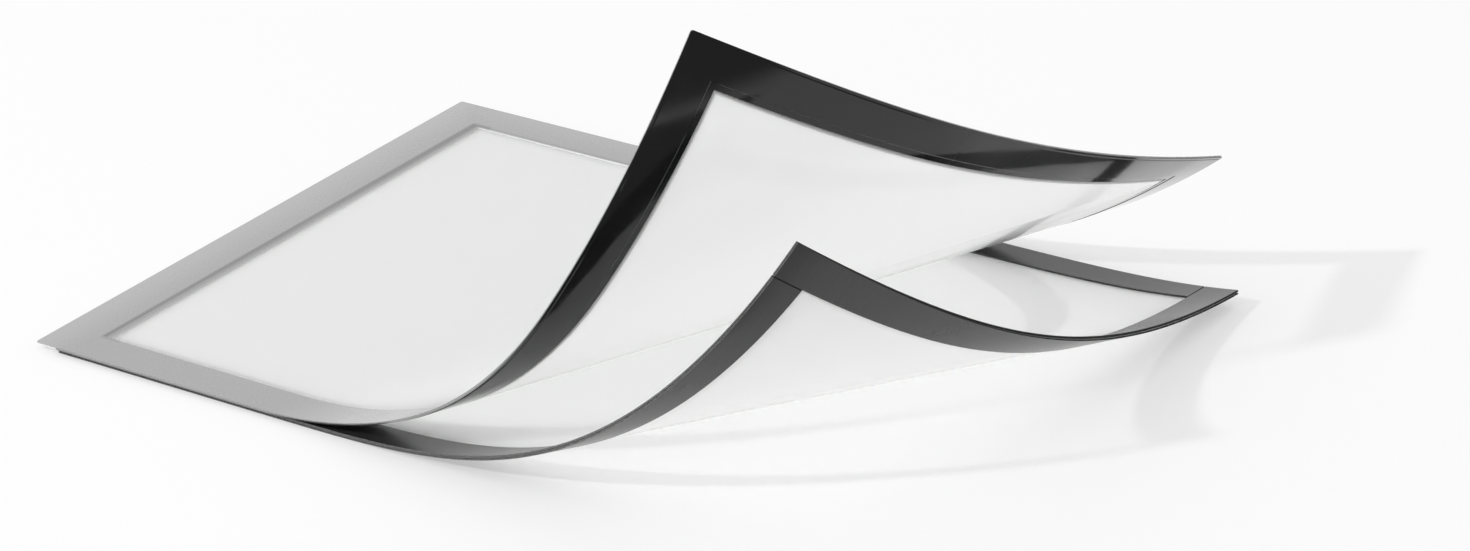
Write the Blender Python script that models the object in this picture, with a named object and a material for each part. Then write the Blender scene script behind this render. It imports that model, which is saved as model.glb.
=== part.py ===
"""Magnetic document frame, held open the way it is loaded.

A film back carries magnet strips along three edges. A cover with a clear window folds about the
closed end and snaps down on the strips. Both sheets stand in the curl that peeling gives them.

Each piece is cut and laid out flat, then bent with its sheet. A sheet bends only about straight
rulings that lean across it, so nothing in it stretches. On the flat sheet, x runs from the closed
end to the free end, y from the near side to the far side, and z up through the layers.
"""

import itertools
import math

import bmesh
import bpy
from mathutils import Matrix, Vector

# Outline of the cover, the larger of the two sheets
COVER_LENGTH = 0.323
COVER_WIDTH = 0.236
CORNER_RADIUS = 0.001

# Bands round the cover's window
BORDER_WIDTH = 0.0157
LINER_WIDTH = 0.0145
COVER_MAGNET_RIM = 0.0013
COVER_MAGNET_WIDTH = 0.0106
POCKET_CLEARANCE = 0.0001

# Outline of the back and its strips
BACK_INSET = 0.0012
SIDE_MAGNET_WIDTH = 0.0114
END_MAGNET_WIDTH = 0.0124
BUTT_GAP = 0.0003
HINGE_TAPE_WIDTH = 0.007
FOLD_GAP = 0.0003

# Layers, from the surface it stands on to the silver face
REAR_MAGNET_THICKNESS = 0.00045
BACK_FILM_THICKNESS = 0.00025
FRONT_MAGNET_THICKNESS = 0.0007
LINER_SKIN = 0.00015
COVER_MAGNET_THICKNESS = 0.0003
COVER_FILM_THICKNESS = 0.0002
BORDER_THICKNESS = 0.00015
LAYER_GAP = 0.00005
COVER_LIFT = 0.0001
HINGE_LIFT = 0.00005

# Curl of the cover, measured along the middle of its width
COVER_BEND_START = 0.140
COVER_BEND_RAMP = 0.010
COVER_FIRST_RADIUS = 0.122
COVER_LAST_RADIUS = 0.139
COVER_LEAN_FROM = 0.200
COVER_LEAN_TO = 0.335
COVER_FIRST_LEAN = math.radians(23.0)
COVER_LAST_LEAN = math.radians(43.5)

# Curl of the back, which starts a little after the cover's
BACK_BEND_LAG = 0.015
BACK_BEND_RAMP = 0.145
BACK_FIRST_RADIUS = 0.100
BACK_LAST_RADIUS = 0.095
BACK_LEAN_FROM = 0.090
BACK_LEAN_TO = 0.355
BACK_FIRST_LEAN = math.radians(27.0)
BACK_LAST_LEAN = math.radians(39.0)

LAST_RADIUS_STATION = 0.380
RULING_STEP = 0.006
ON_RULING = 0.000001
CORNER_SEGMENTS = 4
SMOOTH_ANGLE = math.radians(20.0)

# Heights that follow from the layers
REAR_MAGNET_Z = 0.0
BACK_FILM_Z = REAR_MAGNET_Z + REAR_MAGNET_THICKNESS + LAYER_GAP
FRONT_MAGNET_Z = BACK_FILM_Z + BACK_FILM_THICKNESS + LAYER_GAP
LINER_Z = FRONT_MAGNET_Z + FRONT_MAGNET_THICKNESS + COVER_LIFT
POCKET_DEPTH = LAYER_GAP + COVER_MAGNET_THICKNESS
COVER_MAGNET_Z = LINER_Z + LINER_SKIN + LAYER_GAP
COVER_FILM_Z = LINER_Z + LINER_SKIN + POCKET_DEPTH + LAYER_GAP
BORDER_Z = COVER_FILM_Z + COVER_FILM_THICKNESS + LAYER_GAP
COVER_TOP_Z = BORDER_Z + BORDER_THICKNESS

# Places along and across the flat sheets that follow from the outlines
TAPE_END = BACK_INSET + HINGE_TAPE_WIDTH
COVER_START = TAPE_END + FOLD_GAP
BACK_END = COVER_LENGTH - BACK_INSET
END_MAGNET_START = BACK_END - END_MAGNET_WIDTH
BACK_NEAR = BACK_INSET
BACK_FAR = COVER_WIDTH - BACK_INSET


class Bend:
    """The curl of one sheet: a fan of straight rulings, with a small fold at each."""

    def __init__(self, start, ramp, radii, lean_stations, leans, neutral_z):
        self.start = start
        self.ramp = ramp
        self.curvatures = [1.0 / radius for radius in radii]
        self.lean_stations = lean_stations
        self.leans = leans
        self.neutral_z = neutral_z
        self.rulings = []
        self.lay_rulings()

    def curvature(self, station):
        """Curvature at a station: a smooth rise, then a slow change to the last radius."""
        risen = min(max((station - self.start) / self.ramp, 0.0), 1.0)
        bent = self.start + self.ramp
        share = max((station - bent) / (LAST_RADIUS_STATION - bent), 0.0)
        first, last = self.curvatures
        return risen * risen * (3.0 - 2.0 * risen) * (first + (last - first) * share)

    def lean(self, station):
        """Angle between the ruling at a station and the sheet's straight cross line."""
        first_station, last_station = self.lean_stations
        share = (station - first_station) / (last_station - first_station)
        first, last = self.leans
        return first + (last - first) * min(max(share, 0.0), 1.0)

    def lay_rulings(self):
        """Place the rulings that cross the sheet, each with the movement of the sheet past it."""
        moved = Matrix.Identity(4)
        far_corner = Vector((COVER_LENGTH, 0.0, 0.0))
        station = self.start + RULING_STEP
        while True:
            lean = self.lean(station)
            along = Vector((math.sin(lean), math.cos(lean), 0.0))
            across = Vector((math.cos(lean), -math.sin(lean), 0.0))
            point = Vector((station, COVER_WIDTH / 2, self.neutral_z))
            if (far_corner - point).dot(across) <= 0.0:
                break
            fold = self.curvature(station) * RULING_STEP * math.cos(lean)
            before = moved
            moved = before @ self.folded(point, along, fold)
            self.rulings.append((point, along, across, fold, before, moved))
            station += RULING_STEP

    @staticmethod
    def folded(point, along, angle):
        """Movement that folds the sheet up by an angle about a ruling."""
        turn = Matrix.Rotation(-angle, 4, along)
        return Matrix.Translation(point) @ turn @ Matrix.Translation(-point)

    def place(self, flat):
        """Where a point of the flat sheet lies once the sheet is bent."""
        moved = Matrix.Identity(4)
        for point, along, across, fold, before, after in self.rulings:
            past = (flat - point).dot(across)
            if past < -ON_RULING:
                break
            if past <= ON_RULING:
                raised = flat.copy()
                raised.z = self.neutral_z + (flat.z - self.neutral_z) / math.cos(fold / 2)
                return before @ self.folded(point, along, fold / 2) @ raised
            moved = after
        return moved @ flat

    def apply(self, body):
        """Cut a flat body along every ruling, then move its corners to the bent sheet."""
        for point, along, across, fold, before, after in self.rulings:
            everything = body.verts[:] + body.edges[:] + body.faces[:]
            bmesh.ops.bisect_plane(
                body, geom=everything, dist=ON_RULING, plane_co=point, plane_no=across
            )
        for corner in body.verts:
            corner.co = self.place(corner.co)


def cell_body(x_lines, y_lines, z_lines, kept):
    """A closed body: the cells between the given lines that kept() accepts."""
    counts = (len(x_lines) - 1, len(y_lines) - 1, len(z_lines) - 1)

    def filled(cell):
        if any(not 0 <= cell[k] < counts[k] for k in range(3)):
            return False
        i, j, k = cell
        centre_x = (x_lines[i] + x_lines[i + 1]) / 2
        centre_y = (y_lines[j] + y_lines[j + 1]) / 2
        return kept(centre_x, centre_y, k)

    body = bmesh.new()
    corners = {}

    def corner(i, j, k):
        if (i, j, k) not in corners:
            corners[i, j, k] = body.verts.new((x_lines[i], y_lines[j], z_lines[k]))
        return corners[i, j, k]

    for cell in itertools.product(*(range(count) for count in counts)):
        if not filled(cell):
            continue
        for axis, side in itertools.product(range(3), (0, 1)):
            beside = list(cell)
            beside[axis] += 2 * side - 1
            if filled(tuple(beside)):
                continue
            loop = []
            for second, third in ((0, 0), (1, 0), (1, 1), (0, 1)):
                place = list(cell)
                place[axis] += side
                place[(axis + 1) % 3] += second
                place[(axis + 2) % 3] += third
                loop.append(corner(*place))
            body.faces.new(loop if side else loop[::-1])
    return body


def round_corners(body, ends):
    """Round the upright corner edges of a body at the given x."""
    upright = []
    for edge in body.edges:
        a, b = (corner.co for corner in edge.verts)
        at_end = any(abs(a.x - x) < ON_RULING for x in ends)
        at_side = min(abs(a.y), abs(a.y - COVER_WIDTH)) < ON_RULING
        if at_end and at_side and (a - b).xy.length < ON_RULING:
            upright.append(edge)
    bmesh.ops.bevel(
        body,
        geom=upright,
        offset=CORNER_RADIUS,
        offset_type="OFFSET",
        segments=CORNER_SEGMENTS,
        profile=0.5,
        affect="EDGES",
    )


def plate(x_span, y_span, low, thickness):
    """A plain flat rectangle."""
    return cell_body(x_span, y_span, (low, low + thickness), lambda x, y, layer: True)


def window_frame(start, band, low, thickness):
    """A flat frame from start to the free end, with one band width on every side of the window."""
    lines_x = (start, band, COVER_LENGTH - band, COVER_LENGTH)
    lines_y = (0.0, band, COVER_WIDTH - band, COVER_WIDTH)

    def outside_window(x, y, layer):
        return not (lines_x[1] < x < lines_x[2] and lines_y[1] < y < lines_y[2])

    return cell_body(lines_x, lines_y, (low, low + thickness), outside_window)


def pocket_lines():
    """The lines across the cover that bound the pocket for its magnets."""
    outer = COVER_MAGNET_RIM
    inner = outer + COVER_MAGNET_WIDTH + 2 * POCKET_CLEARANCE
    return outer, inner


def liner_body():
    """The liner: a skin with raised rims, so that the cover's magnets lie in a pocket."""
    outer, inner = pocket_lines()
    pocket_start = COVER_START + COVER_MAGNET_RIM
    lines_x = (
        COVER_START, pocket_start, LINER_WIDTH, COVER_LENGTH - LINER_WIDTH,
        COVER_LENGTH - inner, COVER_LENGTH - outer, COVER_LENGTH,
    )
    lines_y = (
        0.0, outer, inner, LINER_WIDTH,
        COVER_WIDTH - LINER_WIDTH, COVER_WIDTH - inner, COVER_WIDTH - outer, COVER_WIDTH,
    )

    def outside_window(x, y):
        beyond_x = x < LINER_WIDTH or x > COVER_LENGTH - LINER_WIDTH
        return beyond_x or y < LINER_WIDTH or y > COVER_WIDTH - LINER_WIDTH

    def in_pocket(x, y):
        from_side = min(y, COVER_WIDTH - y)
        from_end = COVER_LENGTH - x
        within = x > pocket_start and from_side > outer and from_end > outer
        return within and (from_side < inner or from_end < inner)

    def kept(x, y, layer):
        return outside_window(x, y) and (layer == 0 or not in_pocket(x, y))

    levels = (LINER_Z, LINER_Z + LINER_SKIN, LINER_Z + LINER_SKIN + POCKET_DEPTH)
    return cell_body(lines_x, lines_y, levels, kept)


def side_span(side, outer, width):
    """The y span of a strip that lies outer metres in from the near or the far side."""
    if side == "near":
        return outer, outer + width
    return COVER_WIDTH - outer - width, COVER_WIDTH - outer


def finish(name, colour, roughness, metallic):
    """A plain material."""
    material = bpy.data.materials.new(name)
    material.use_nodes = True
    shader = material.node_tree.nodes["Principled BSDF"]
    shader.inputs["Base Color"].default_value = (*colour, 1.0)
    shader.inputs["Roughness"].default_value = roughness
    shader.inputs["Metallic"].default_value = metallic
    material.diffuse_color = (*colour, 1.0)
    return material


def carrier(name, place):
    """An empty that carries the pieces of one body."""
    empty = bpy.data.objects.new(name, None)
    empty.location = place
    bpy.context.collection.objects.link(empty)
    return empty


def add_piece(name, body, bend, material, parent):
    """Bend a flat body, if its sheet bends, and add it as an object on its carrier."""
    if bend:
        bend.apply(body)
    bmesh.ops.translate(body, verts=body.verts[:], vec=-parent.location)
    mesh = bpy.data.meshes.new(name)
    body.to_mesh(mesh)
    body.free()
    mesh.materials.append(material)
    mesh.shade_smooth()
    mesh.set_sharp_from_angle(angle=SMOOTH_ANGLE)
    piece = bpy.data.objects.new(name, mesh)
    piece.parent = parent
    bpy.context.collection.objects.link(piece)
    return piece


def build_back(parent, bend):
    """The back: a film between magnet strips, and the fixed end of the hinge."""
    film = finish("milky_film", (0.86, 0.87, 0.87), 0.45, 0.0)
    magnet = finish("magnet_rubber", (0.07, 0.07, 0.075), 0.5, 0.0)
    foam = finish("white_foam", (0.92, 0.92, 0.92), 0.8, 0.0)
    silver = finish("silver_print", (0.56, 0.56, 0.57), 0.38, 0.35)
    back_x = (BACK_INSET, BACK_END)
    back_y = (BACK_NEAR, BACK_FAR)
    body = plate(back_x, back_y, BACK_FILM_Z, BACK_FILM_THICKNESS)
    pieces = [add_piece("back_film", body, bend, film, parent)]
    layers = (
        ("rear_magnet", REAR_MAGNET_Z, REAR_MAGNET_THICKNESS),
        ("front_magnet", FRONT_MAGNET_Z, FRONT_MAGNET_THICKNESS),
    )
    for layer, low, thickness in layers:
        for side in ("near", "far"):
            span_x = (COVER_START, END_MAGNET_START - BUTT_GAP)
            span_y = side_span(side, BACK_INSET, SIDE_MAGNET_WIDTH)
            body = plate(span_x, span_y, low, thickness)
            pieces.append(add_piece(f"{layer}_{side}", body, bend, magnet, parent))
        body = plate((END_MAGNET_START, BACK_END), back_y, low, thickness)
        pieces.append(add_piece(f"{layer}_end", body, bend, magnet, parent))
    tape_low = BACK_FILM_Z + BACK_FILM_THICKNESS + LAYER_GAP
    tape_high = COVER_FILM_Z - LAYER_GAP
    body = plate((BACK_INSET, TAPE_END), back_y, tape_low, tape_high - tape_low)
    pieces.append(add_piece("hinge_tape", body, None, foam, parent))
    flaps = (
        ("hinge_film_flap", COVER_FILM_Z, COVER_FILM_THICKNESS, film),
        ("hinge_border_flap", BORDER_Z, BORDER_THICKNESS, silver),
    )
    for name, low, thickness, material in flaps:
        body = plate((0.0, TAPE_END), (0.0, COVER_WIDTH), low, thickness)
        round_corners(body, (0.0,))
        pieces.append(add_piece(name, body, None, material, parent))
    return pieces


def build_cover(parent, bend):
    """The cover: a window film between a silver border and a black liner that holds magnets."""
    film = finish("window_film", (0.88, 0.89, 0.89), 0.3, 0.0)
    silver = finish("cover_silver", (0.56, 0.56, 0.57), 0.38, 0.35)
    black = finish("black_liner", (0.015, 0.015, 0.017), 0.25, 0.0)
    magnet = finish("cover_magnet_rubber", (0.06, 0.06, 0.065), 0.6, 0.0)
    cover_x = (COVER_START, COVER_LENGTH)
    body = plate(cover_x, (0.0, COVER_WIDTH), COVER_FILM_Z, COVER_FILM_THICKNESS)
    round_corners(body, (COVER_LENGTH,))
    pieces = [add_piece("cover_film", body, bend, film, parent)]
    body = window_frame(COVER_START, BORDER_WIDTH, BORDER_Z, BORDER_THICKNESS)
    round_corners(body, (COVER_LENGTH,))
    pieces.append(add_piece("cover_border", body, bend, silver, parent))
    body = liner_body()
    round_corners(body, (COVER_LENGTH,))
    pieces.append(add_piece("cover_liner", body, bend, black, parent))
    inset = COVER_MAGNET_RIM + POCKET_CLEARANCE
    side_start = COVER_START + inset
    end_x = (COVER_LENGTH - inset - COVER_MAGNET_WIDTH, COVER_LENGTH - inset)
    for side in ("near", "far"):
        span_y = side_span(side, inset, COVER_MAGNET_WIDTH)
        span_x = (side_start, end_x[0] - BUTT_GAP)
        body = plate(span_x, span_y, COVER_MAGNET_Z, COVER_MAGNET_THICKNESS)
        pieces.append(add_piece(f"cover_magnet_{side}", body, bend, magnet, parent))
    end_y = (inset, COVER_WIDTH - inset)
    body = plate(end_x, end_y, COVER_MAGNET_Z, COVER_MAGNET_THICKNESS)
    pieces.append(add_piece("cover_magnet_end", body, bend, magnet, parent))
    return pieces


def stand_on_origin(carriers, pieces):
    """Move the carriers so that the frame stands centred on the world's origin."""
    bpy.context.view_layer.update()
    corners = [
        piece.matrix_world @ corner.co for piece in pieces for corner in piece.data.vertices
    ]
    low = Vector([min(corner[k] for corner in corners) for k in range(3)])
    high = Vector([max(corner[k] for corner in corners) for k in range(3)])
    centre = (low + high) / 2
    for empty in carriers:
        empty.location -= Vector((centre.x, centre.y, low.z))
    bpy.context.view_layer.update()


def main():
    for old in list(bpy.data.objects):
        bpy.data.objects.remove(old)
    cover_bend = Bend(
        COVER_BEND_START,
        COVER_BEND_RAMP,
        (COVER_FIRST_RADIUS, COVER_LAST_RADIUS),
        (COVER_LEAN_FROM, COVER_LEAN_TO),
        (COVER_FIRST_LEAN, COVER_LAST_LEAN),
        COVER_FILM_Z + COVER_FILM_THICKNESS / 2,
    )
    back_bend = Bend(
        COVER_BEND_START + BACK_BEND_LAG,
        BACK_BEND_RAMP,
        (BACK_FIRST_RADIUS, BACK_LAST_RADIUS),
        (BACK_LEAN_FROM, BACK_LEAN_TO),
        (BACK_FIRST_LEAN, BACK_LAST_LEAN),
        BACK_FILM_Z + BACK_FILM_THICKNESS / 2,
    )
    back = carrier("frame_back", Vector((0.0, 0.0, 0.0)))
    hinge_place = Vector((TAPE_END + FOLD_GAP / 2, COVER_WIDTH / 2, COVER_TOP_Z + HINGE_LIFT))
    cover = carrier("cover_hinge", hinge_place)
    pieces = build_back(back, back_bend) + build_cover(cover, cover_bend)
    stand_on_origin((back, cover), pieces)


main()
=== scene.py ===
"""Looks of a magnetic document frame, peeled open on a white table.

Every piece is cut and shaped flat, in the plan of its sheet, and is then bent with that sheet.
On the flat sheet x runs from the closed end to the free end, y from the near side to the far
side, and z up through the layers. Lengths are in metres.
"""

import logging
import math
from dataclasses import dataclass, field
from enum import Enum
from typing import Callable

import bmesh
import bpy
import numpy as np
from mathutils import Matrix, Vector


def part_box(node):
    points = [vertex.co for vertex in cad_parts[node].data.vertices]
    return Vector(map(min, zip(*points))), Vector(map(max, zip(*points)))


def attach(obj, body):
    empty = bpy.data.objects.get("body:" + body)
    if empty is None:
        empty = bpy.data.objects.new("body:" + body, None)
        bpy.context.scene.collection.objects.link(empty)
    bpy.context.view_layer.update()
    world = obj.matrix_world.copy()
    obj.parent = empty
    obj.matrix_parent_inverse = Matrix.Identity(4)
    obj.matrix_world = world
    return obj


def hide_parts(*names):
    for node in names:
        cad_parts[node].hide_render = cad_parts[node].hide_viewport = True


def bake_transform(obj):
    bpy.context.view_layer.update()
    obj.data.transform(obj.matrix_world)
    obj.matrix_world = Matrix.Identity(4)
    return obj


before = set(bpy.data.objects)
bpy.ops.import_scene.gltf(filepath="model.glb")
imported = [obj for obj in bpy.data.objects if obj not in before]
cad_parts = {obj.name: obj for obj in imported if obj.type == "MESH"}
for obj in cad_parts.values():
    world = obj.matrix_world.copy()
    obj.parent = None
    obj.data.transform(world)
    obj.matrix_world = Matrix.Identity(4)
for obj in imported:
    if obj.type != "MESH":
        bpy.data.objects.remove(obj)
LOG = logging.getLogger("document_frame")

FLAT_ATTRIBUTE = "flat"
UPPER_ATTRIBUTE = "upper"
SHARP_ANGLE = math.radians(20.0)
CORNER_RADIUS = 0.0009
CORNER_SEGMENTS = 4
TOUCHING = 0.000001
NOISE_MIDDLE = 0.5
# Place of the foam tape's near lower corner on the flat sheet
TAPE_CORNER = (0.0012, 0.0012, 0.0008)

Triple = tuple[float, float, float]
Span = tuple[float, float]
Height = Callable[[float], float]


class Body(Enum):
    """The two bodies that the hinge joins."""

    BACK = "back"
    COVER = "cover"


class Slot(Enum):
    """Material slots of the record."""

    FILM = "milky_film"
    MAGNET = "magnet_rubber"
    FOAM = "white_foam"
    SILVER = "silver_print"
    LINER = "black_liner"


class Side(Enum):
    """The edges of a sheet that carry a strip."""

    NEAR = "near"
    FAR = "far"
    END = "end"


class Ply(Enum):
    """The two plies of magnet strip on the back."""

    FRONT = "front"
    REAR = "rear"


def add_node(tree: bpy.types.NodeTree, kind: str, settings: dict | None = None,
             sockets: dict | None = None) -> bpy.types.Node:
    """Add a node to a tree.

    Args:
        tree: the tree.
        kind: the node's type, without the usual prefix.
        settings: attributes of the node, set first.
        sockets: wires, numbers or colours of three parts, by input name or number.

    Returns:
        The node.
    """
    node = tree.nodes.new("ShaderNode" + kind)
    for name, value in (settings or {}).items():
        setattr(node, name, value)
    for name, value in (sockets or {}).items():
        socket = node.inputs[name]
        if isinstance(value, Wire):
            tree.links.new(value.socket, socket)
        else:
            socket.default_value = (*value, 1.0) if socket.type == "RGBA" else value
    return node


class Wire:
    """An output socket. Python's operators on it add Math nodes to its tree."""

    def __init__(self, tree: bpy.types.NodeTree, socket: bpy.types.NodeSocket) -> None:
        """Keep the tree and the socket."""
        self.tree = tree
        self.socket = socket

    def math(self, operation: str, other: "Wire | float", swap: bool = False) -> "Wire":
        """Add a Math node.

        Args:
            operation: the node's operation.
            other: the other value.
            swap: put the other value first.

        Returns:
            The node's result.
        """
        values = (other, self) if swap else (self, other)
        node = add_node(self.tree, "Math", {"operation": operation}, dict(enumerate(values)))
        return Wire(self.tree, node.outputs[0])

    def __add__(self, other: "Wire | float") -> "Wire":
        """Sum."""
        return self.math("ADD", other)

    def __radd__(self, other: float) -> "Wire":
        """Sum, with the number first."""
        return self.math("ADD", other, swap=True)

    def __sub__(self, other: "Wire | float") -> "Wire":
        """Difference."""
        return self.math("SUBTRACT", other)

    def __rsub__(self, other: float) -> "Wire":
        """Difference, with the number first."""
        return self.math("SUBTRACT", other, swap=True)

    def __mul__(self, other: "Wire | float") -> "Wire":
        """Product."""
        return self.math("MULTIPLY", other)

    def __rmul__(self, other: float) -> "Wire":
        """Product, with the number first."""
        return self.math("MULTIPLY", other, swap=True)

    def __pow__(self, other: float) -> "Wire":
        """Power."""
        return self.math("POWER", other)

    def least(self, other: "Wire | float") -> "Wire":
        """The smaller of two values."""
        return self.math("MINIMUM", other)

    def most(self, other: "Wire | float") -> "Wire":
        """The larger of two values."""
        return self.math("MAXIMUM", other)

    def step(self, low: float, high: float) -> "Wire":
        """Rise smoothly from 0 at low to 1 at high, or fall where low is above high.

        Args:
            low: the value that gives 0.
            high: the value that gives 1.

        Returns:
            The smooth step.
        """
        sockets = {"Value": self, "From Min": min(low, high), "From Max": max(low, high)}
        node = add_node(self.tree, "MapRange", {"interpolation_type": "SMOOTHSTEP"}, sockets)
        rising = Wire(self.tree, node.outputs["Result"])
        return rising if low <= high else 1.0 - rising


@dataclass(frozen=True)
class Grain:
    """Scale, detail and roughness of a noise."""

    scale: float
    detail: float = 2.0
    roughness: float = 0.55


@dataclass(frozen=True)
class Relief:
    """Depth in metres and strength of a bump."""

    depth: float
    strength: float


class Shader:
    """A node tree under construction, of a material or of the world."""

    def __init__(self, tree: bpy.types.NodeTree) -> None:
        """Empty the tree."""
        self.tree = tree
        tree.nodes.clear()

    def node(self, kind: str, settings: dict | None = None, sockets: dict | None = None,
             output: int | str = 0) -> Wire:
        """Add a node, as add_node does, and take one of its outputs."""
        node = add_node(self.tree, kind, settings, sockets)
        return Wire(self.tree, node.outputs[output])

    def flat(self) -> Wire:
        """Place on the flat sheet, as a vector in metres."""
        return self.node("Attribute", {"attribute_name": FLAT_ATTRIBUTE}, output="Vector")

    def ray(self, kind: str) -> Wire:
        """What kind of ray meets the surface."""
        return self.node("LightPath", output=kind)

    def parts(self, vector: Wire) -> tuple[Wire, ...]:
        """The three parts of a vector."""
        node = add_node(self.tree, "SeparateXYZ", None, {0: vector})
        return tuple(Wire(self.tree, output) for output in node.outputs)

    def stretched(self, vector: Wire, scale: Triple) -> Wire:
        """A vector times a number for each part."""
        return self.node("VectorMath", {"operation": "MULTIPLY"}, {0: vector, 1: scale})

    def noise(self, vector: Wire, grain: Grain) -> Wire:
        """Soft noise from 0 to 1, centred on one half."""
        sockets = {"Scale": grain.scale, "Detail": grain.detail, "Roughness": grain.roughness}
        return self.node("TexNoise", None, {"Vector": vector, **sockets})

    def blend(self, share: Wire, first: Triple | Wire, second: Triple | Wire) -> Wire:
        """Mix two colours by a share."""
        return self.node("Mix", {"data_type": "RGBA"}, {0: share, 6: first, 7: second}, 2)

    def shades(self, share: Wire, tone: float, contrast: Span) -> Wire:
        """A grey that varies by a share between two contrasts of its tone."""
        return self.blend(share, grey(tone * contrast[0]), grey(tone * contrast[1]))

    def bump(self, height: Wire, relief: Relief) -> Wire:
        """A normal raised by a height from 0 to 1."""
        sockets = {"Height": height, "Distance": relief.depth, "Strength": relief.strength}
        return self.node("Bump", None, sockets)

    def close(self, surface: Wire, kind: str = "OutputMaterial") -> None:
        """Link a surface to the output."""
        add_node(self.tree, kind, None, {"Surface": surface})


def grey(level: float) -> Triple:
    """A neutral grey."""
    return (level, level, level)


class Finish:
    """A finish that makes one material."""

    name: str

    def surface(self, shader: Shader) -> Wire:
        """Build the surface and return its shader wire."""
        raise NotImplementedError

    def material(self) -> bpy.types.Material:
        """Make the material.

        Returns:
            The material, with this finish's surface.
        """
        made = bpy.data.materials.new(self.name)
        made.use_nodes = True
        shader = Shader(made.node_tree)
        shader.close(self.surface(shader))
        return made


@dataclass(frozen=True)
class MilkyFilm(Finish):
    """Milky film with a gloss face, which lets most of the light through."""

    name: str = "milky_film"
    tone: Triple = (0.955, 0.957, 0.955)
    cloud_tone: Triple = (0.947, 0.949, 0.947)
    cloud: Grain = Grain(28.0, 3.0)
    peel: Grain = Grain(900.0)
    relief: Relief = Relief(0.00001, 0.35)
    passed: float = 0.86
    lamp_share: float = 0.88
    grazing_power: float = 3.0
    facing_blend: float = 0.5
    roughness: float = 0.06
    cloud_roughness: float = 0.04
    face_ior: float = 2.8

    def surface(self, shader: Shader) -> Wire:
        """Faintly cloudy body colour under a gloss face, clear to the lamp's rays.

        Args:
            shader: the tree to build in.

        Returns:
            The surface.
        """
        flat = shader.flat()
        cloud = shader.noise(flat, self.cloud)
        sockets = {
            "Base Color": shader.blend(cloud, self.cloud_tone, self.tone),
            "IOR": self.face_ior,
            "Roughness": self.roughness + self.cloud_roughness * cloud,
            "Normal": shader.bump(shader.noise(flat, self.peel), self.relief),
        }
        face = shader.node("BsdfPrincipled", None, sockets)
        glow = shader.node("BsdfTranslucent", None, {"Color": self.tone})
        turned = shader.node("LayerWeight", None, {"Blend": self.facing_blend}, "Facing")
        share = self.passed * (1.0 - turned ** self.grazing_power)
        film = shader.node("MixShader", None, {0: share, 1: face, 2: glow})
        clear = shader.node("BsdfTransparent", None, {"Color": grey(self.lamp_share)})
        # The lamp's rays pass every face, but not the upper one from inside the film
        upper = shader.node("Attribute", {"attribute_name": UPPER_ATTRIBUTE}, output="Fac")
        crossed = shader.ray("Transparent Depth").least(1.0)
        open_share = (1.0 - upper).most(crossed)
        crossing = shader.node("MixShader", None, {0: open_share, 1: film, 2: clear})
        return shader.node("MixShader", None, {0: shader.ray("Is Shadow Ray"), 1: film, 2: crossing})


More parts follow.
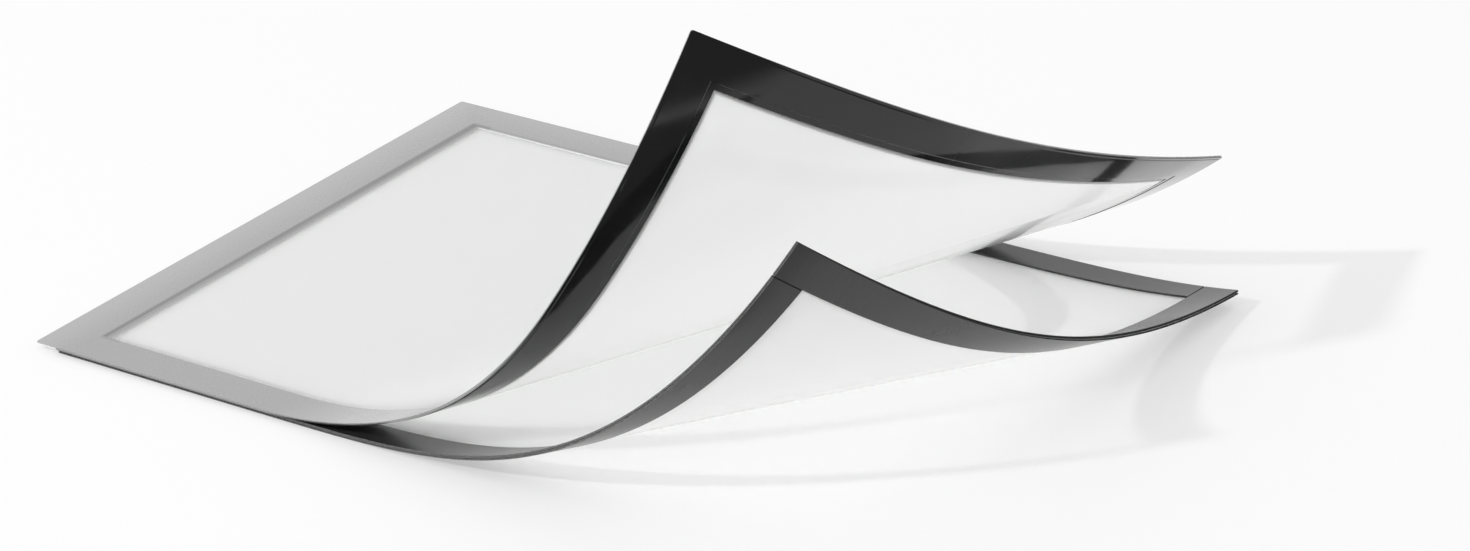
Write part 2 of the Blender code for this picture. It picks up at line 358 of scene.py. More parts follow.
@dataclass(frozen=True)
class SilverPrint(Finish):
    """Satin silver print on the cover's outer face."""

    name: str = "silver_print"
    tone: float = 0.297
    contrast: Span = (0.94, 1.06)
    pale_rise: float = 0.24
    closed_pale: Span = (0.016, 0.0)
    far_pale: Span = (0.014, 0.0)
    far_share: float = 0.5
    roughness: float = 0.27
    flake_roughness: float = 0.08
    metallic: float = 0.1
    varnish: float = 0.9
    varnish_roughness: float = 0.14
    flakes: Grain = Grain(5200.0, 1.0)
    flake_share: float = 0.2
    cloud: Grain = Grain(22.0, 3.0)
    cloud_stretch: Triple = (1.0, 1.0, 0.0)
    relief: Relief = Relief(0.00001, 0.3)
    length: float = 0.323
    width: float = 0.236
    # Painted shade of the step down to the window, on the closed side only
    painted_shade_start: Span = (0.0152, 0.0164)
    painted_shade_end: Span = (0.0244, 0.0234)
    painted_shade_sides: Span = (0.0132, 0.0142)
    painted_shade_share: float = 0.72
    painted_shade_contrast: Span = (0.85, 1.15)
    closed_fringe: Span = (0.0173, 0.0218)
    fringe: Span = (0.0149, 0.0160)
    fringe_tone: float = 0.62
    closed_rim: Span = (0.0208, 0.0219)
    rim: Span = (0.0151, 0.0158)
    rim_tone: float = 0.78
    far_trim: float = 0.0008

    def surface(self, shader: Shader) -> Wire:
        """Fine flakes in a smooth grey, with painted shade on the closed side where the print dips to
        the window.

        Args:
            shader: the tree to build in.

        Returns:
            The surface.
        """
        flat = shader.flat()
        flakes = shader.noise(flat, self.flakes)
        cloud = shader.noise(shader.stretched(flat, self.cloud_stretch), self.cloud)
        level = self.flake_share * flakes + (1.0 - self.flake_share) * cloud
        sockets = {
            "Base Color": self.colour(shader, level),
            "Metallic": self.metallic,
            "Coat Weight": self.varnish,
            "Coat Roughness": self.varnish_roughness,
            "Roughness": self.roughness + self.flake_roughness * (flakes - NOISE_MIDDLE),
            "Normal": shader.bump(flakes, self.relief),
        }
        return shader.node("BsdfPrincipled", None, sockets)

    def colour(self, shader: Shader, level: Wire) -> Wire:
        """Lay the print's tones over each other, from the plain grey to the rim of the window.

        Args:
            shader: the tree to build in.
            level: the unevenness of the print.

        Returns:
            The colour.
        """
        along, across, _ = shader.parts(shader.flat())
        inset = (self.length - along).least(across).least(self.width - across)
        at_far = (self.width - across).step(*self.far_pale)
        at_pale = along.step(*self.closed_pale).most(self.far_share * at_far)
        plain = shader.shades(level, self.tone, self.contrast)
        pale = shader.shades(level, self.tone * (1.0 + self.pale_rise), self.contrast)
        # Painted shade: the closed side's step down to the window is darkened, standing in for its
        # shaded wall and the shadow beside it
        painted_shade_grey = shader.shades(level, self.tone * self.painted_shade_share, self.painted_shade_contrast)
        at_painted_shade = along.step(*self.painted_shade_start) * along.step(*self.painted_shade_end) * inset.step(*self.painted_shade_sides)
        # The print's inner edge fades to a pale grey. On the closed side the fade is wider, and there
        # it is painted shade that lightens towards the window
        at_fringe = inset.step(*self.fringe).least(along.step(*self.closed_fringe))
        rim_inset = inset.least(self.width - self.far_trim - across)
        at_rim = rim_inset.step(*self.rim).least(along.step(*self.closed_rim))
        tone = shader.blend(at_pale, plain, pale)
        tone = shader.blend(at_painted_shade, tone, painted_shade_grey)
        tone = shader.blend(at_fringe, tone, grey(self.fringe_tone))
        return shader.blend(at_rim, tone, grey(self.rim_tone))


@dataclass(frozen=True)
class GlossLiner(Finish):
    """Black liner film with a gloss face."""

    name: str = "black_liner"
    tone: float = 0.006
    roughness: float = 0.07
    face_ior: float = 1.52
    bloom: Span = (0.120, 0.215)
    waves: Grain = Grain(34.0, 1.0)
    relief: Relief = Relief(0.0006, 0.5)
    haze: Grain = Grain(60.0, 4.0)
    haze_range: Span = (0.35, 0.8)
    haze_roughness: float = 0.1
    dust: Grain = Grain(2600.0, 1.0)
    dust_range: Span = (0.7, 0.78)
    dust_tone: float = 0.02
    # A slightly paler patch in the middle of the free end band
    patch_tone: float = 0.035
    patch_low: Span = (0.092, 0.118)
    patch_high: Span = (0.182, 0.168)
    patch_end: Span = (0.300, 0.308)
    # Painted light on the near cut wall, near the closed end and over the fold
    wall_light_tone: float = 0.3
    wall_reach: Span = (0.00008, 0.00003)
    closed_wall_light: Span = (0.110, 0.095)
    fold_start: Span = (0.142, 0.150)
    fold_end: Span = (0.212, 0.185)

    def surface(self, shader: Shader) -> Wire:
        """A deep black under a face with slow waves, glossier towards the far side, with painted
        light on parts of the near cut wall.

        Args:
            shader: the tree to build in.

        Returns:
            The surface.
        """
        flat = shader.flat()
        along, across, _ = shader.parts(flat)
        dust = shader.noise(flat, self.dust).step(*self.dust_range)
        dusted = shader.blend(dust, grey(self.tone), grey(self.dust_tone))
        # A slightly paler patch across the middle of the free end band
        patch_band = across.step(*self.patch_low) * across.step(*self.patch_high)
        at_patch = patch_band * along.step(*self.patch_end)
        patched = shader.blend(at_patch, dusted, grey(self.patch_tone))
        # Painted light: the near cut wall is pale grey near the closed end and over the fold, and
        # black elsewhere
        near_fold = along.step(*self.fold_start) * along.step(*self.fold_end)
        at_wall_light = across.step(*self.wall_reach) * near_fold.most(along.step(*self.closed_wall_light))
        haze = shader.noise(flat, self.haze).step(*self.haze_range)
        sockets = {
            "Base Color": shader.blend(at_wall_light, patched, grey(self.wall_light_tone)),
            "IOR": self.face_ior,
            "Coat Weight": across.step(*self.bloom),
            "Coat Roughness": self.roughness,
            "Roughness": self.roughness + self.haze_roughness * haze,
            "Normal": shader.bump(shader.noise(flat, self.waves), self.relief),
        }
        return shader.node("BsdfPrincipled", None, sockets)


@dataclass(frozen=True)
class MagnetRubber(Finish):
    """Calendered magnetic rubber: a smooth dark face, paler slit sides and black cut ends."""

    name: str = "magnet_rubber"
    tone: float = 0.035
    contrast: Span = (0.75, 1.25)
    slit_tone: float = 0.16
    cut_tone: float = 0.006
    roughness: float = 0.2
    grain_roughness: float = 0.07
    cut_roughness: float = 0.6
    grain: Grain = Grain(1900.0, 3.0)
    rolled: Grain = Grain(1.0)
    rolled_stretch: Triple = (40.0, 900.0, 1.0)
    rolled_share: float = 0.5
    rolled_relief: float = 0.3
    relief: Relief = Relief(0.00003, 0.4)
    specks: Grain = Grain(2400.0)
    speck_range: Span = (0.42, 0.6)
    speck_floor: float = 0.35
    near_edge: float = 0.0012
    far_edge: float = 0.2348
    seam: Span = (0.3090, 0.3094)
    free_edge: float = 0.3218
    edge_reach: float = 0.00009

    def at_edge(self, place: Wire, edge: float, inward: int) -> Wire:
        """1 on a cut edge's wall, from which the strip goes on to higher (1) or lower (-1) places."""
        reach = inward * self.edge_reach
        return place.step(edge + reach, edge + reach / 2)

    def surface(self, shader: Shader) -> Wire:
        """Dark face with rolling marks, and a pale speckled side where the strip was slit.

        Args:
            shader: the tree to build in.

        Returns:
            The surface.
        """
        flat = shader.flat()
        along, across, _ = shader.parts(flat)
        grain = shader.noise(flat, self.grain)
        rolled = shader.noise(shader.stretched(flat, self.rolled_stretch), self.rolled)
        at_near = self.at_edge(across, self.near_edge, 1)
        at_side = at_near.most(self.at_edge(across, self.far_edge, -1))
        at_seam = self.at_edge(along, self.seam[0], -1) * self.at_edge(along, self.seam[1], 1)
        at_cut = at_seam.most(self.at_edge(along, self.free_edge, -1))
        specks = shader.noise(flat, self.specks).step(*self.speck_range)
        slit = at_side * (self.speck_floor + (1.0 - self.speck_floor) * specks)
        level = (1.0 - self.rolled_share) * grain + self.rolled_share * rolled
        sides = shader.blend(
            slit, shader.shades(level, self.tone, self.contrast), grey(self.slit_tone)
        )
        cut_roughness = self.cut_roughness * at_side.most(at_cut)
        height = (1.0 - self.rolled_relief) * grain + self.rolled_relief * rolled
        sockets = {
            "Base Color": shader.blend(at_cut, sides, grey(self.cut_tone)),
            "Roughness": self.roughness + self.grain_roughness * grain + cut_roughness,
            "Normal": shader.bump(height, self.relief),
        }
        return shader.node("BsdfPrincipled", None, sockets)


@dataclass(frozen=True)
class WhiteFoam(Finish):
    """White foam tape."""

    name: str = "white_foam"
    tone: float = 0.9
    contrast: Span = (0.88, 1.0)
    roughness: float = 0.7
    pore_roughness: float = 0.2
    pores: Grain = Grain(3200.0)
    pore_range: Span = (0.3, 0.5)
    relief: Relief = Relief(0.00008, 0.6)

    def surface(self, shader: Shader) -> Wire:
        """Matte white with fine closed pores.

        Args:
            shader: the tree to build in.

        Returns:
            The surface.
        """
        pores = shader.noise(shader.flat(), self.pores)
        sockets = {
            "Base Color": shader.shades(pores.step(*self.pore_range), self.tone, self.contrast),
            "Roughness": self.roughness + self.pore_roughness * pores,
            "Normal": shader.bump(pores, self.relief),
        }
        return shader.node("BsdfPrincipled", None, sockets)


@dataclass(frozen=True)
class TableWhite(Finish):
    """White table top, lifted towards plain white where the camera or a gloss face sees it."""

    name: str = "table_white"
    tone: float = 0.95
    lift: float = 0.42

    def surface(self, shader: Shader) -> Wire:
        """Matte white that keeps the shadows.

        Args:
            shader: the tree to build in.

        Returns:
            The surface.
        """
        matte = shader.node("BsdfDiffuse", None, {"Color": grey(self.tone)})
        white = shader.node("Emission", None, {"Color": grey(1.0), "Strength": 1.0})
        share = self.lift * shader.ray("Is Camera Ray").most(shader.ray("Is Glossy Ray"))
        return shader.node("MixShader", None, {0: share, 1: matte, 2: white})


@dataclass(frozen=True)
class ScreenGrey(Finish):
    """Plain grey of a studio screen, which grades to it from white over a span of heights."""

    name: str
    tone: float
    fade: Span

    def surface(self, shader: Shader) -> Wire:
        """Even grey that takes no light.

        Args:
            shader: the tree to build in.

        Returns:
            The surface.
        """
        _, _, height = shader.parts(shader.node("TexCoord", output="Object"))
        shade = shader.blend(height.step(*self.fade), grey(1.0), grey(self.tone))
        return shader.node("Emission", None, {"Color": shade, "Strength": 1.0})


def slice_body(body: bmesh.types.BMesh, point: Triple | Vector, normal: Triple | Vector,
               clear_inner: bool = False) -> list[bmesh.types.BMEdge]:
    """Cut a body with a plane.

    Args:
        body: the body.
        point: a point of the plane.
        normal: its normal.
        clear_inner: delete what lies behind the plane.

    Returns:
        The edges of the cut.
    """
    parts = body.verts[:] + body.edges[:] + body.faces[:]
    made = bmesh.ops.bisect_plane(
        body, geom=parts, dist=TOUCHING, plane_co=point, plane_no=normal, clear_inner=clear_inner,
    )
    return [item for item in made["geom_cut"] if isinstance(item, bmesh.types.BMEdge)]


@dataclass
class SheetBend:
    """The curl of one sheet about straight rulings that lean across it."""

    start: float
    ramp: float
    radii: Span
    lean_stations: Span
    leans: Span
    neutral_z: float
    last_station: float = 0.380
    coarse_step: float = 0.006
    share: int = 4
    middle: float = 0.118
    reach: float = 0.323
    points: list[Vector] = field(default_factory=list)
    alongs: list[Vector] = field(default_factory=list)
    acrosses: list[Vector] = field(default_factory=list)
    folds: list[float] = field(default_factory=list)
    moves: list[Matrix] = field(default_factory=list)

    def __post_init__(self) -> None:
        """Lay the rulings, as many to each coarse step as share says."""
        step = self.coarse_step / self.share
        station = self.start + self.coarse_step / 2 + step / 2
        self.moves.append(Matrix.Identity(4))
        corner = Vector((self.reach, 0.0, 0.0))
        while True:
            lean = self.lean(station)
            point = Vector((station, self.middle, self.neutral_z))
            across = Vector((math.cos(lean), -math.sin(lean), 0.0))
            if (corner - point).dot(across) <= 0.0:
                return
            self.points.append(point)
            self.alongs.append(Vector((math.sin(lean), math.cos(lean), 0.0)))
            self.acrosses.append(across)
            self.folds.append(self.curvature(station) * step * math.cos(lean))
            self.moves.append(self.moves[-1] @ self.fold(-1, 1.0))
            station += step

    def curvature(self, station: float) -> float:
        """Find how much the sheet curls.

        Args:
            station: a place along the middle of the sheet.

        Returns:
            The curvature there.
        """
        risen = min(max((station - self.start) / self.ramp, 0.0), 1.0)
        bent = self.start + self.ramp
        share = max((station - bent) / (self.last_station - bent), 0.0)
        first, last = (1.0 / radius for radius in self.radii)
        return risen * risen * (3.0 - 2.0 * risen) * (first + (last - first) * share)

    def lean(self, station: float) -> float:
        """Find how far a ruling leans.

        Args:
            station: where it crosses the middle of the sheet.

        Returns:
            Its lean.
        """
        low, high = self.lean_stations
        share = min(max((station - low) / (high - low), 0.0), 1.0)
        return self.leans[0] + (self.leans[1] - self.leans[0]) * share

    def fold(self, index: int, share: float) -> Matrix:
        """Find the movement of the sheet past one ruling.

        Args:
            index: the ruling.
            share: share of its fold.

        Returns:
            The movement.
        """
        point = self.points[index]
        turn = Matrix.Rotation(-self.folds[index] * share, 4, self.alongs[index])
        return Matrix.Translation(point) @ turn @ Matrix.Translation(-point)

    def cut(self, body: bmesh.types.BMesh) -> None:
        """Cut a flat body along every ruling."""
        for point, across in zip(self.points, self.acrosses):
            slice_body(body, point, across)

    def bend(self, body: bmesh.types.BMesh) -> None:
        """Move a flat body to the bent sheet.

        Args:
            body: the body, cut along the rulings.
        """
        flat = np.array([vert.co for vert in body.verts])
        points, acrosses = np.array(self.points), np.array(self.acrosses)
        past = flat @ acrosses.T - (points * acrosses).sum(1)
        region = (past > TOUCHING).sum(1)
        on_ruling = np.abs(past) <= TOUCHING
        for vert, index, touched in zip(body.verts, region, on_ruling):
            if touched.any():
                ruling = int(np.argmax(touched))
                stretch = 1.0 / math.cos(self.folds[ruling] / 2)
                place = vert.co.copy()
                place.z = self.neutral_z + (place.z - self.neutral_z) * stretch
                vert.co = self.moves[ruling] @ self.fold(ruling, 0.5) @ place
            else:
                vert.co = self.moves[int(index)] @ vert.co


@dataclass
class Workshop:
    """Turns flat bodies into finished pieces of the frame."""

    origin: Vector

    def finish(self, name: str, body: bmesh.types.BMesh, material: bpy.types.Material,
               bend: SheetBend | None = None) -> bpy.types.Object:
        """Bend a flat body and make it an object.

        Args:
            name: the piece's name.
            body: the flat body, which is used up.
            material: its finish.
            bend: the curl of its sheet, if it has one.

        Returns:
            The object, with its place in its mesh.
        """
        if bend:
            bend.cut(body)
        body.normal_update()
        layer = body.verts.layers.float_vector.new(FLAT_ATTRIBUTE)
        upper = body.verts.layers.float.new(UPPER_ATTRIBUTE)
        for vert in body.verts:
            vert[layer] = vert.co
            vert[upper] = float(vert.normal.z > 0.0)
        if bend:
            bend.bend(body)
        bmesh.ops.translate(body, verts=body.verts[:], vec=self.origin)
        mesh = bpy.data.meshes.new(name)
        body.to_mesh(mesh)
        body.free()
        mesh.materials.append(material)
        mesh.shade_smooth()
        mesh.set_sharp_from_angle(angle=SHARP_ANGLE)
        piece = bpy.data.objects.new(name, mesh)
        bpy.context.scene.collection.objects.link(piece)
        LOG.info("%s: %d faces", name, len(mesh.polygons))
        return piece

    @staticmethod
    def plate(x_span: Span, y_span: Span, z_span: Span, chamfer: float = 0.0) -> bmesh.types.BMesh:
        """A flat plate with chamfered edges.

        Args:
            x_span: its two ends along the sheet.
            y_span: its two sides across the sheet.
            z_span: its two faces.
            chamfer: width of the chamfer on every edge.

        Returns:
            The body.
        """
        spans = (x_span, y_span, z_span)
        sizes = Vector([high - low for low, high in spans])
        centre = Vector([(low + high) / 2 for low, high in spans])
        body = bmesh.new()
        bmesh.ops.create_cube(body, size=1.0)
        bmesh.ops.scale(body, verts=body.verts[:], vec=sizes)
        bmesh.ops.translate(body, verts=body.verts[:], vec=centre)
        if chamfer:
            bmesh.ops.bevel(
                body, geom=body.edges[:], offset=chamfer, offset_type="OFFSET", segments=1,
                profile=0.5, material=-1, affect="EDGES",
            )
        return body

    @staticmethod
    def stepped(length: float, width: float, insets: tuple[float, ...], window: bool,
                low: Height, high: Height) -> bmesh.types.BMesh:
        """A sheet or a frame whose faces step up and down with the distance from its outline.

        Args:
            length: size of the outline along the sheet.
            width: size of the outline across the sheet.
            insets: distances from the outline at which the faces may turn.
            window: cut out what lies inside the last inset.
            low: height of the lower face, from the distance to the outline.
            high: height of the upper face.

        Returns:
            The body.
        """
        body = bmesh.new()
        bmesh.ops.create_grid(body, x_segments=1, y_segments=1, size=0.5)
        bmesh.ops.scale(body, verts=body.verts[:], vec=(length, width, 1.0))
        bmesh.ops.translate(body, verts=body.verts[:], vec=(length / 2, width / 2, 0.0))
        middle = body.faces[:][0]
        for before, after in zip((0.0,) + insets, insets):
            bmesh.ops.inset_region(
                body, faces=[middle], thickness=after - before, use_boundary=True,
                use_even_offset=True,
            )
        if window:
            bmesh.ops.delete(body, geom=[middle], context="FACES")
        made = bmesh.ops.extrude_face_region(body, geom=body.faces[:], use_keep_orig=True)
        raised = {item for item in made["geom"] if isinstance(item, bmesh.types.BMVert)}
        for vert in body.verts:
            x, y = vert.co.x, vert.co.y
            inset = min(x, length - x, y, width - y)
            vert.co.z = high(inset) if vert in raised else low(inset)
        bmesh.ops.recalc_face_normals(body, faces=body.faces[:])
        return body

    @staticmethod
    def round_corners(body: bmesh.types.BMesh, xs: tuple[float, ...], width: float) -> None:
        """Round the upright corner edges that stand on the outline.

        Args:
            body: the body.
            xs: the ends of the sheet whose corners are rounded.
            width: size of the outline across the sheet.
        """
        upright = []
        for edge in body.edges:
            a, b = (vert.co for vert in edge.verts)
            at_end = any(abs(a.x - x) < TOUCHING for x in xs)
            at_side = min(abs(a.y), abs(a.y - width)) < TOUCHING
            if at_end and at_side and (a - b).xy.length < TOUCHING:
                upright.append(edge)
        bmesh.ops.bevel(
            body, geom=upright, offset=CORNER_RADIUS, offset_type="OFFSET",
            segments=CORNER_SEGMENTS, profile=0.5, material=-1, affect="EDGES",
        )


def smooth_fall(start: float, end: float, depth: float) -> Height:
    """Make a drop that grows smoothly.

    Args:
        start: the distance where it starts.
        end: the distance where it reaches its depth.
        depth: its depth.

    Returns:
        The drop at a distance.
    """

    def drop(inset: float) -> float:
        """The drop at one distance."""
        share = min(max((inset - start) / (end - start), 0.0), 1.0)
        return depth * share * share * (3.0 - 2.0 * share)

    return drop


@dataclass
class CoverSheet:
    """The cover: window film, silver border, black liner and the magnets in the liner."""

    shop: Workshop
    length: float = 0.323
    width: float = 0.236
    hinge_x: float = 0.0085
    tape_end: float = 0.0082
    fold_before: float = 0.001
    fold_after: float = 0.0015
    fold_cuts: int = 8
    film_z: Span = (0.00215, 0.00235)
    border_z: Span = (0.00240, 0.00255)
    liner_z: Span = (0.00160, 0.00210)
    skin: float = 0.00015
    magnet_z: Span = (0.00180, 0.00210)
    outer_band: float = 0.0012
    border_width: float = 0.0157
    liner_width: float = 0.0145
    step_lip: float = 0.0001
    step_turns: int = 6
    closed_step: Span = (0.0154, 0.0178)
    closed_print: float = 0.0196
    recess: float = 0.0005
    print_edge: Span = (0.00001, 0.00003)
    crease: float = 0.00015
    pocket_clearance: float = 0.0002
    outer_turn: float = 0.0004
    inner_turn: float = 0.0003
    magnet_rim: float = 0.0014
    magnet_width: float = 0.0106
    magnet_gap: float = 0.0003
    bend: SheetBend = field(default_factory=lambda: SheetBend(
        start=0.140, ramp=0.010, radii=(0.122, 0.139), lean_stations=(0.200, 0.335),
        leans=(math.radians(23.0), math.radians(43.5)), neutral_z=0.00225,
    ))

    def step_insets(self) -> tuple[float, ...]:
        """Distances from the outline at which the window's step turns."""
        start, end, turns = self.liner_width, self.border_width, self.step_turns
        return tuple(start + (end - start) * turn / turns for turn in range(turns + 1))

    def window_drop(self) -> Height:
        """How far the window's step has dropped at a distance from the outline."""
        return smooth_fall(self.liner_width + self.step_lip, self.border_width, self.recess)

    def widen_closed(self, body: bmesh.types.BMesh) -> None:
        """Shift the step and the print's inner edge inwards on the closed side.

        Args:
            body: the flat film or border.
        """
        low, high = self.closed_step
        stretch = (high - low) / (self.border_width - self.liner_width)
        for vert in body.verts:
            x, y = vert.co.x, vert.co.y
            inset = min(y, self.width - y, self.length - x)
            if x > inset + TOUCHING or x < self.liner_width - TOUCHING:
                continue
            if x > self.border_width + TOUCHING:
                vert.co.x = self.closed_print
            else:
                vert.co.x = low + (x - self.liner_width) * stretch

    def fold_ends(self) -> Span:
        """Where the fold at the hinge starts and ends along the flat sheet."""
        return self.tape_end - self.fold_before, self.hinge_x + self.fold_after

    def across_hinge(self, piece: bpy.types.Object) -> None:
        """Bake a piece's transform into its mesh."""
        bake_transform(piece)

    def cut_fold(self, body: bmesh.types.BMesh) -> None:
        """Cut a flat body across at the hinge, at even steps over the fold.

        Args:
            body: the flat film or border.
        """
        start, end = self.fold_ends()
        for cut in range(self.fold_cuts + 1):
            x = start + (end - start) * cut / self.fold_cuts
            slice_body(body, (x, 0.0, 0.0), (1.0, 0.0, 0.0))

    def film(self, material: bpy.types.Material) -> None:
        """Make the window film, which dips inside the border.

        Args:
            material: its finish.
        """
        drop = self.window_drop()
        body = self.shop.stepped(
            self.length, self.width, (self.outer_band, *self.step_insets()), False,
            lambda inset: self.film_z[0] - drop(inset), lambda inset: self.film_z[1] - drop(inset),
        )
        self.widen_closed(body)
        self.shop.round_corners(body, (0.0, self.length), self.width)
        self.cut_fold(body)
        piece = self.shop.finish("window_film", body, material, self.bend)
        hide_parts("cover_film", "hinge_film_flap")
        self.across_hinge(piece)

    def border(self, material: bpy.types.Material) -> None:
        """Make the silver border, whose inner margin dips and thins down on the film.

        Args:
            material: its finish.
        """
        drop = self.window_drop()
        film_face = self.film_z[1] - self.recess
        last_turn = self.border_width + TOUCHING

        def level(inset: float, face: int) -> float:
            """Height of the print's lower (0) or upper (1) face."""
            at_end = film_face + self.print_edge[face]
            return at_end if inset > last_turn else self.border_z[face] - drop(inset)

        insets = (self.outer_band, *self.step_insets(), self.border_width + self.step_lip)
        body = self.shop.stepped(
            self.length, self.width, insets, True,
            lambda inset: level(inset, 0), lambda inset: level(inset, 1),
        )
        self.widen_closed(body)
        self.shop.round_corners(body, (0.0, self.length), self.width)
        self.cut_fold(body)
        piece = self.shop.finish("silver_border", body, material, self.bend)
        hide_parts("cover_border", "hinge_border_flap")
        self.across_hinge(piece)

    def liner(self, material: bpy.types.Material) -> None:
        """Make the black liner, pressed round the magnets, with a crease on each side of them.

        Args:
            material: its finish.
        """
        outer = self.magnet_rim - self.pocket_clearance
        inner = self.magnet_rim + self.magnet_width + self.pocket_clearance
        face, film_side = self.liner_z

        def over_magnet(inset: float) -> bool:
            """Whether a place lies on a magnet's pocket."""
            return outer - TOUCHING < inset < inner + TOUCHING

        insets = (outer - self.outer_turn, outer, inner, inner + self.inner_turn, self.liner_width)
        body = self.shop.stepped(
            self.length, self.width, insets, True,
            lambda inset: face if over_magnet(inset) else face + self.crease,
            lambda inset: face + self.skin if over_magnet(inset) else film_side,
        )
        self.shop.round_corners(body, (self.length,), self.width)
        rim = slice_body(body, (self.hinge_x, 0.0, 0.0), (1.0, 0.0, 0.0), clear_inner=True)
        bmesh.ops.holes_fill(body, edges=rim, sides=0)
        bmesh.ops.recalc_face_normals(body, faces=body.faces[:])
        piece = self.shop.finish("black_liner", body, material, self.bend)
        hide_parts("cover_liner")
        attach(piece, Body.COVER.value)

    def magnet(self, side: Side, material: bpy.types.Material) -> None:
        """Make one magnet strip in the liner's pocket.

        Args:
            side: the edge that it lies along.
            material: its finish.
        """
        rim, wide = self.magnet_rim, self.magnet_width
        end_span = (self.length - rim - wide, self.length - rim)
        side_span = (self.hinge_x + rim, end_span[0] - self.magnet_gap)
        spans = {
            Side.END: (end_span, (rim, self.width - rim)),
            Side.NEAR: (side_span, (rim, rim + wide)),
            Side.FAR: (side_span, (self.width - rim - wide, self.width - rim)),
        }
        body = self.shop.plate(*spans[side], self.magnet_z)
        piece = self.shop.finish(f"cover_magnet_strip_{side.value}", body, material, self.bend)
        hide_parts(f"cover_magnet_{side.value}")
        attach(piece, Body.COVER.value)


@dataclass
class BackSheet:
    """The back: a film between two plies of magnet strip, and the foam tape of the hinge."""

    shop: Workshop
    inset: float = 0.0012
    end: float = 0.3218
    width: float = 0.236
    strip_start: float = 0.0085
    side_width: float = 0.0114
    end_width: float = 0.0124
    seam: float = 0.0004
    seam_foot: float = 0.00015
    film_z: Span = (0.00050, 0.00075)
    rear_z: Span = (0.0, 0.00045)
    front_z: Span = (0.00080, 0.00150)
    tape_z: Span = (0.00080, 0.00210)
    tape_end: float = 0.0082
    chamfer: float = 0.00005
    film_inset: float = 0.0003
    bend: SheetBend = field(default_factory=lambda: SheetBend(
        start=0.155, ramp=0.145, radii=(0.100, 0.095), lean_stations=(0.090, 0.355),
        leans=(math.radians(27.0), math.radians(39.0)), neutral_z=0.000625,
    ))

    def film(self, material: bpy.types.Material) -> None:
        """Make the back film, whose cut edge lies a little inside the strips' edges.

        Args:
            material: its finish.
        """
        sides = (self.inset + self.film_inset, self.width - self.inset - self.film_inset)
        body = self.shop.plate((self.inset, self.end - self.film_inset), sides, self.film_z)
        piece = self.shop.finish("back_sheet_film", body, material, self.bend)
        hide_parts("back_film")
        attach(piece, Body.BACK.value)

    def strip(self, ply: Ply, side: Side, material: bpy.types.Material) -> None:
        """Make one magnet strip of the front or the rear ply.

        Args:
            ply: its ply.
            side: the edge that it lies along.
            material: its finish.
        """
        levels = self.front_z if ply is Ply.FRONT else self.rear_z
        end_start = self.end - self.end_width
        side_span = (self.strip_start, end_start - self.seam)
        near, far = self.inset, self.width - self.inset
        spans = {
            Side.END: ((end_start, self.end), (near, far)),
            Side.NEAR: (side_span, (near, near + self.side_width)),
            Side.FAR: (side_span, (far - self.side_width, far)),
        }
        body = self.shop.plate(*spans[side], levels, self.chamfer)
        if side is not Side.END:
            self.close_seam(body, side_span[1], levels[0] + self.seam_foot)
        piece = self.shop.finish(f"{ply.value}_strip_{side.value}", body, material, self.bend)
        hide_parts(f"{ply.value}_magnet_{side.value}")
        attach(piece, Body.BACK.value)

    def close_seam(self, body: bmesh.types.BMesh, end: float, height: float) -> None:
        """Let the foot of a side strip meet the end strip, so that no light shows in the seam.

        Args:
            body: the flat strip.
            end: where its upper edge stops.
            height: how high its foot reaches.
        """
        slice_body(body, (0.0, 0.0, height), (0.0, 0.0, 1.0))
        for vert in body.verts:
            if vert.co.z < height + TOUCHING and vert.co.x > end - TOUCHING:
                vert.co.x = end + self.seam - self.chamfer

    def tape(self, material: bpy.types.Material) -> None:
        """Make the foam tape under the closed end of the cover.

        Args:
            material: its finish.
        """
        sides = (self.inset, self.width - self.inset)
        body = self.shop.plate((self.inset, self.tape_end), sides, self.tape_z, self.chamfer)
        piece = self.shop.finish("foam_tape", body, material)
        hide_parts("hinge_tape")
        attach(piece, Body.BACK.value)


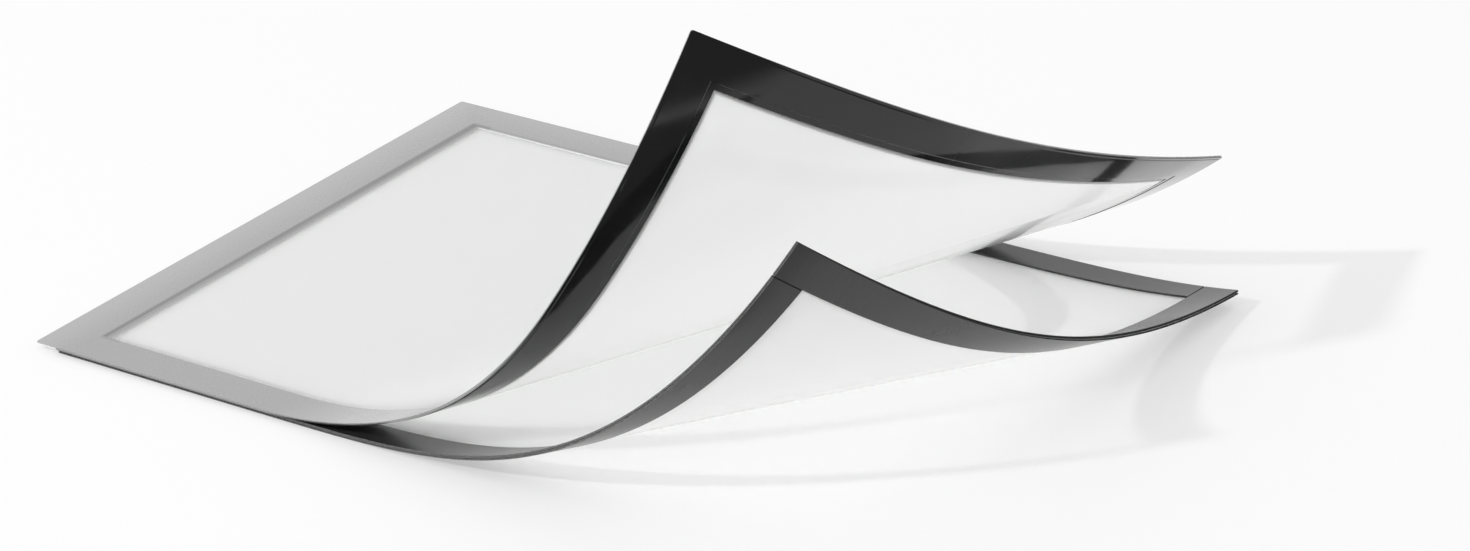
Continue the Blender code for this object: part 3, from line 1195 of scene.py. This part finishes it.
@dataclass
class Studio:
    """Camera, light, floor, dark screens and world."""

    origin: Vector
    azimuth: float = math.radians(33.937)
    elevation: float = math.radians(25.149)
    roll: float = math.radians(-1.054)
    distance: float = 1.620506
    focal_share: float = 4784.283 / 1470.0
    sensor: float = 36.0
    clip: Span = (0.05, 100.0)
    aim: Triple = (0.165531, 0.167447, 0.0)
    key_azimuth: float = math.radians(57.0)
    key_elevation: float = math.radians(33.2)
    key_aim: Triple = (0.2, 0.12, 0.04)
    key_distance: float = 6.0
    key_size: float = 0.30
    key_power: float = 138.0
    ambient: float = 0.80
    floor_half: float = 12.0
    floor_drop: float = 0.00002
    flag_azimuth: float = math.radians(-17.0)
    flag_distance: float = 0.535
    flag_half_width: float = 0.6
    flag_height: float = 0.5
    flag_tone: float = 0.21
    flag_fade: Span = (0.0, 0.045)
    card_tone: float = 0.19
    card_fade: Span = (-1.0, 0.0)
    card_lift: float = 0.0006
    card_corners: tuple[Span, ...] = (
        (0.306, 0.016), (0.306, -0.5), (0.56, -0.5), (0.56, -0.030),
    )

    def camera(self) -> None:
        """Set the camera at the photograph's place and angle."""
        az, el = self.azimuth, self.elevation
        back = Vector((math.sin(az) * math.cos(el), -math.cos(az) * math.cos(el), math.sin(el)))
        right = Vector((math.cos(az), math.sin(az), 0.0))
        up = back.cross(right)
        turned_right = math.cos(self.roll) * right + math.sin(self.roll) * up
        turned_up = -math.sin(self.roll) * right + math.cos(self.roll) * up
        data = bpy.data.cameras.new("camera")
        data.sensor_width = self.sensor
        data.lens = self.sensor * self.focal_share
        data.clip_start, data.clip_end = self.clip
        camera = bpy.data.objects.new("camera", data)
        axes = Matrix((turned_right, turned_up, back)).transposed().to_4x4()
        place = self.origin + Vector(self.aim) + back * self.distance
        camera.matrix_world = Matrix.Translation(place) @ axes
        bpy.context.scene.collection.objects.link(camera)
        bpy.context.scene.camera = camera

    def key(self) -> None:
        """Hang a small soft lamp on the near left, which throws the long shadow."""
        data = bpy.data.lights.new("key_lamp", "AREA")
        data.shape = "DISK"
        data.size = self.key_size
        data.energy = self.key_power
        lamp = bpy.data.objects.new("key_lamp", data)
        az, el = self.key_azimuth, self.key_elevation
        away = Vector((-math.cos(az) * math.cos(el), -math.sin(az) * math.cos(el), math.sin(el)))
        lamp.location = self.origin + Vector(self.key_aim) + away * self.key_distance
        lamp.rotation_mode = "QUATERNION"
        lamp.rotation_quaternion = away.to_track_quat("Z", "Y")
        lamp.visible_camera = False
        bpy.context.scene.collection.objects.link(lamp)

    @staticmethod
    def stand(name: str, body: bmesh.types.BMesh, finish: Finish) -> bpy.types.Object:
        """Make an object of the studio.

        Args:
            name: its name.
            body: its shape, which is used up.
            finish: its finish.

        Returns:
            The object.
        """
        mesh = bpy.data.meshes.new(name)
        body.to_mesh(mesh)
        body.free()
        mesh.materials.append(finish.material())
        item = bpy.data.objects.new(name, mesh)
        bpy.context.scene.collection.objects.link(item)
        return item

    def floor(self) -> None:
        """Lay a wide white table top just under the object."""
        body = bmesh.new()
        bmesh.ops.create_grid(body, x_segments=1, y_segments=1, size=self.floor_half)
        table = self.stand("table_top", body, TableWhite())
        table.location.z = -self.floor_drop

    def screen(self, name: str, corners: tuple[Vector, ...], tone: float, fade: Span) -> None:
        """Stand or lay a dark screen that shows only in gloss.

        Args:
            name: name of the screen.
            corners: its corners in order.
            tone: its grey.
            fade: heights between which it grades from white to its grey.
        """
        body = bmesh.new()
        body.faces.new([body.verts.new(corner) for corner in corners])
        screen = self.stand(name, body, ScreenGrey(name + "_grey", tone, fade))
        screen.visible_camera = screen.visible_diffuse = False
        screen.visible_shadow = screen.visible_transmission = False

    def flags(self) -> None:
        """Stand a dark screen beyond the near right corner, and lay a dark card before it."""
        ahead = Vector((math.cos(self.flag_azimuth), math.sin(self.flag_azimuth), 0.0))
        aside = Vector((-ahead.y, ahead.x, 0.0)) * self.flag_half_width
        foot = self.origin + ahead * self.flag_distance
        top = Vector((0.0, 0.0, self.flag_height))
        standing = (foot - aside, foot + aside, foot + aside + top, foot - aside + top)
        self.screen("dark_screen", standing, self.flag_tone, self.flag_fade)
        lying = tuple(self.origin + Vector((x, y, self.card_lift)) for x, y in self.card_corners)
        self.screen("dark_card", lying, self.card_tone, self.card_fade)

    def world(self) -> None:
        """Light evenly from all round, with white where the camera or a gloss face sees past."""
        world = bpy.data.worlds.new("studio")
        world.use_nodes = True
        bpy.context.scene.world = world
        shader = Shader(world.node_tree)
        mirrored = shader.ray("Is Glossy Ray").most(shader.ray("Is Transmission Ray"))
        white = shader.ray("Is Camera Ray").most(mirrored)
        strength = self.ambient + (1.0 - self.ambient) * white
        back = shader.node("Background", None, {"Color": grey(1.0), "Strength": strength})
        shader.close(back, "OutputWorld")

    def build(self) -> None:
        """Set everything up."""
        self.camera()
        self.key()
        self.floor()
        self.flags()
        self.world()
        bpy.context.scene.view_settings.view_transform = "Standard"


def main() -> None:
    """Build the studio and the pieces in order."""
    logging.basicConfig(level=logging.INFO, format="%(name)s: %(message)s")
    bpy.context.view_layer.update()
    low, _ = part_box("hinge_tape")
    origin = low - Vector(TAPE_CORNER)
    Studio(origin).build()
    shop = Workshop(origin)
    film = MilkyFilm().material()
    silver = SilverPrint().material()
    black = GlossLiner().material()
    rubber = MagnetRubber().material()
    foam = WhiteFoam().material()
    cover = CoverSheet(shop)
    cover.film(film)
    cover.border(silver)
    cover.liner(black)
    back = BackSheet(shop)
    back.film(film)
    back.tape(foam)
    for side in Side:
        cover.magnet(side, rubber)
        for ply in Ply:
            back.strip(ply, side, rubber)


if __name__ == "__main__":
    main()
